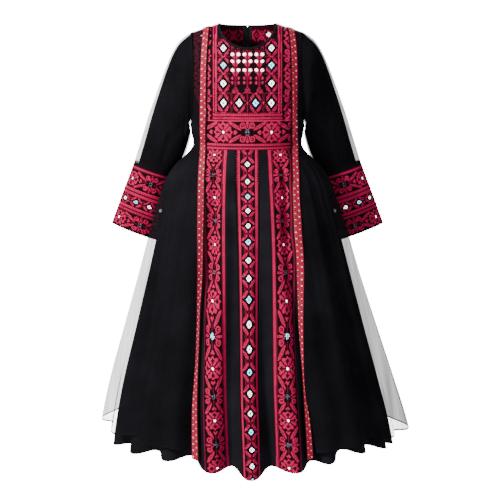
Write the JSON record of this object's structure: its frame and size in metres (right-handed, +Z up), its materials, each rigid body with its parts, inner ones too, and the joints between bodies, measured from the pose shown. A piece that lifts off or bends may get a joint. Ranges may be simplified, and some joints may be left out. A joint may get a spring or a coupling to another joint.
{
  "type": "abaya",
  "caption": "Two-layer abaya: a printed black dress with long cuffed sleeves and a full skirt under a sheer open-front overlay edged with ribbon, hollow and in its worn shape.",
  "frame": {"origin": "midway between the two neck points, where the wearer's shoulders carry the garment", "axes": "+Z up, the front faces -Y, +X towards the right of the picture (the wearer's left)"},
  "size_m": [0.8496, 0.578, 1.1741],
  "materials": {
    "black_dress_cloth": "soft matt woven",
    "printed_dress_cloth": "matt printed or embroidered",
    "black_sheer_cloth": "sheer",
    "red_gold_ribbon": "woven ribbon with metallic thread",
    "zip_tape": "matt woven",
    "zip_metal": "satin"
  },
  "bodies": {
    "garment": {"bodice_back_left": "black_dress_cloth", "bodice_back_right": "black_dress_cloth", "bodice_front": "printed_dress_cloth", "bodice_side_left": "black_dress_cloth", "bodice_side_right": "black_dress_cloth", "cuff_left": "printed_dress_cloth", "cuff_right": "printed_dress_cloth", "neck_binding": "black_dress_cloth", "neck_facing_left": "printed_dress_cloth", "neck_facing_right": "printed_dress_cloth", "overlay_back_left": "black_sheer_cloth", "overlay_back_right": "black_sheer_cloth", "overlay_front_left": "black_sheer_cloth", "overlay_front_right": "black_sheer_cloth", "overlay_sleeve_left": "black_sheer_cloth", "overlay_sleeve_right": "black_sheer_cloth", "skirt_back_left": "black_dress_cloth", "skirt_back_right": "black_dress_cloth", "skirt_centre": "printed_dress_cloth", "skirt_floral_left": "printed_dress_cloth", "skirt_floral_right": "printed_dress_cloth", "skirt_godet_left": "black_dress_cloth", "skirt_godet_right": "black_dress_cloth", "skirt_side_left": "black_dress_cloth", "skirt_side_right": "black_dress_cloth", "sleeve_left": "black_dress_cloth", "sleeve_right": "black_dress_cloth", "trim_left": "red_gold_ribbon", "trim_right": "red_gold_ribbon", "waist_band": "printed_dress_cloth", "zip_slider": "zip_metal", "zip_tape_left": "zip_tape", "zip_tape_right": "zip_tape"},
    "pull": {"zip_pull": "zip_metal"}
  },
  "joints": [
    {"name": "zip_pull_hinge", "type": "hinge", "parent": "garment", "child": "pull", "pos_m": [0, 0.07588, -0.01107], "axis": [1, 0, 0], "range_deg": [0, 150]}
  ]
}
